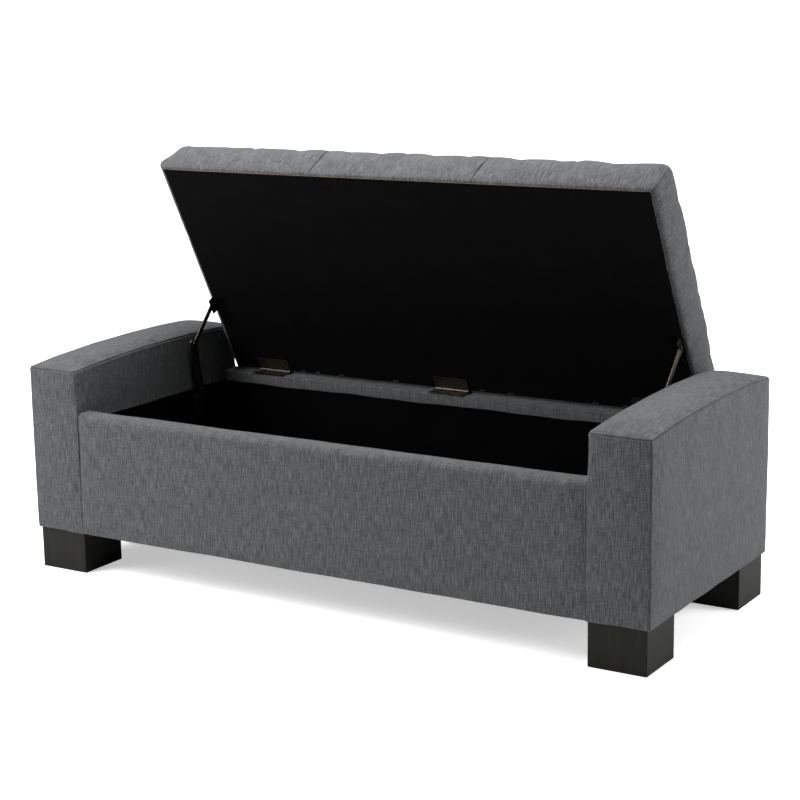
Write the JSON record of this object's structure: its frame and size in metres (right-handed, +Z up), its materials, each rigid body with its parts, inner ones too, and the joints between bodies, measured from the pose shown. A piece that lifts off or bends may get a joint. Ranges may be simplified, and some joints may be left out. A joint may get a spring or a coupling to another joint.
{
  "type": "storage bench",
  "caption": "Upholstered storage bench with raised arched arms, block legs, a button-tufted hinged lid on folding stays, and a cloth-lined box.",
  "frame": {"origin": "on the floor, at the centre of the rectangle that the four legs stand on", "axes": "+X along the bench's length, -Y towards the front, +Z up; the lid is stored propped open on its stays"},
  "size_m": [1.295, 0.5763, 0.7951],
  "materials": {
    "upholstery": "heathered charcoal linen-look weave, matte",
    "black_cloth": "thin black non-woven cloth, matte",
    "foam": "open-cell foam",
    "twine": "waxed twine",
    "plywood": "raw plywood",
    "leg_wood": "espresso stain, satin",
    "bronze_steel": "antique bronze, satin",
    "zinc_steel": "zinc plated",
    "staple_wire": "bright galvanised wire",
    "glide_plastic": "matte"
  },
  "bodies": {
    "root": {"arm_bottom_board_left": "plywood", "arm_bottom_board_right": "plywood", "arm_cover_left": "upholstery", "arm_cover_right": "upholstery", "arm_end_boards_left": "plywood", "arm_end_boards_right": "plywood", "arm_foam_left": "foam", "arm_foam_right": "foam", "arm_outer_panel_left": "plywood", "arm_outer_panel_right": "plywood", "arm_top_board_left": "plywood", "arm_top_board_right": "plywood", "back_cover": "upholstery", "back_rail_foam": "foam", "bottom_dust_cloth": "black_cloth", "corner_posts": "plywood", "floor_battens": "plywood", "frame_back_panel": "plywood", "frame_front_panel": "plywood", "front_cover": "upholstery", "front_rail_foam": "foam", "hinge_base_leaves": "bronze_steel", "hinge_base_screws": "bronze_steel", "hinge_pins": "zinc_steel", "leg_back_left": "leg_wood", "leg_back_right": "leg_wood", "leg_bolts": "zinc_steel", "leg_front_left": "leg_wood", "leg_front_right": "leg_wood", "leg_glides": "glide_plastic", "leg_plates": "zinc_steel", "rail_battens": "plywood", "stay_base_rivets": "bronze_steel", "stay_wall_brackets": "bronze_steel", "stay_wall_screws": "bronze_steel", "storage_end_panel_left": "plywood", "storage_end_panel_right": "plywood", "storage_floor_panel": "plywood", "storage_liner": "black_cloth"},
    "lid": {"lid_board": "plywood", "lid_foam": "foam", "lid_cover": "upholstery", "lid_underside_cloth": "black_cloth", "lid_cloth_staples": "staple_wire", "tuft_buttons": "upholstery", "tuft_twine": "twine", "tuft_washers": "zinc_steel", "hinge_lid_leaves": "bronze_steel", "hinge_lid_screws": "bronze_steel", "stay_lid_brackets": "bronze_steel", "stay_lid_screws": "bronze_steel", "stay_lid_rivets": "bronze_steel"},
    "stay_lower_left": {"stay_lower_link_left": "bronze_steel", "stay_elbow_rivet_left": "bronze_steel"},
    "stay_upper_left": {"stay_upper_link_left": "bronze_steel"},
    "stay_lower_right": {"stay_lower_link_right": "bronze_steel", "stay_elbow_rivet_right": "bronze_steel"},
    "stay_upper_right": {"stay_upper_link_right": "bronze_steel"}
  },
  "joints": [
    {"name": "lid_hinge", "type": "hinge", "parent": "root", "child": "lid", "pos_m": [0, 0.24, 0.3215], "axis": [1, 0, 0], "range_deg": [0, 62.3]},
    {"name": "stay_base_pivot_left", "type": "hinge", "parent": "root", "child": "stay_lower_left", "pos_m": [-0.52, 0.114, 0.278], "axis": [1, 0, 0], "range_deg": [0, 88.37]},
    {"name": "stay_lid_pivot_left", "type": "hinge", "parent": "lid", "child": "stay_upper_left", "pos_m": [-0.5175, 0.15577, 0.46364], "axis": [1, 0, 0], "range_deg": [-76.65, 0]},
    {"name": "stay_base_pivot_right", "type": "hinge", "parent": "root", "child": "stay_lower_right", "pos_m": [0.52, 0.114, 0.278], "axis": [1, 0, 0], "range_deg": [0, 88.37]},
    {"name": "stay_lid_pivot_right", "type": "hinge", "parent": "lid", "child": "stay_upper_right", "pos_m": [0.5175, 0.15577, 0.46364], "axis": [1, 0, 0], "range_deg": [-76.65, 0]}
  ],
  "couplings": [
    {"joint": "stay_base_pivot_left", "follows": "lid_hinge", "ratio": 1.4177},
    {"joint": "stay_lid_pivot_left", "follows": "lid_hinge", "ratio": -1.2296},
    {"joint": "stay_base_pivot_right", "follows": "lid_hinge", "ratio": 1.4177},
    {"joint": "stay_lid_pivot_right", "follows": "lid_hinge", "ratio": -1.2296}
  ]
}
